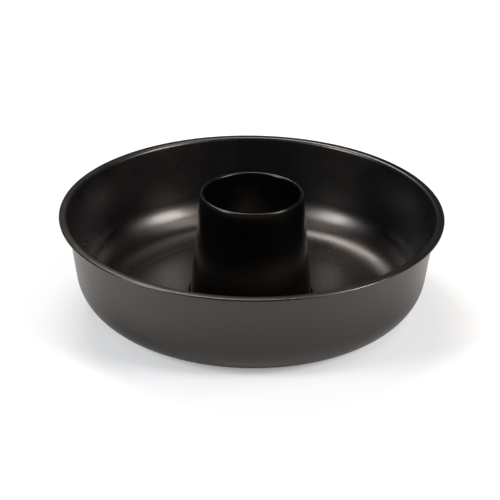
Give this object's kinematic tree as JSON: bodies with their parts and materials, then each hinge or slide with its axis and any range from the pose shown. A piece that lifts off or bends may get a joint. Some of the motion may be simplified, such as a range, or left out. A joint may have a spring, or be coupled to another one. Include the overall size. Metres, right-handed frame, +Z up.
{
  "type": "ring cake mould",
  "caption": "Round ring cake mould of dark coated sheet steel: rim flange with a rolled edge, sloping wall, wide rounded corner, and a tapered open centre tube with a curled lip.",
  "frame": {"origin": "on the table that the mould stands on, under the middle of its centre tube", "axes": "+Z up along the axis of the mould, -Y towards the viewer of the picture, +X to the viewer's right"},
  "size_m": [0.26, 0.26, 0.0789],
  "materials": {
    "shell_coating": "satin black non-stick coating on sheet steel",
    "tube_coating": "satin black non-stick coating on sheet steel"
  },
  "bodies": {
    "root": {"mould_shell": "shell_coating", "centre_tube": "tube_coating"}
  },
  "joints": []
}
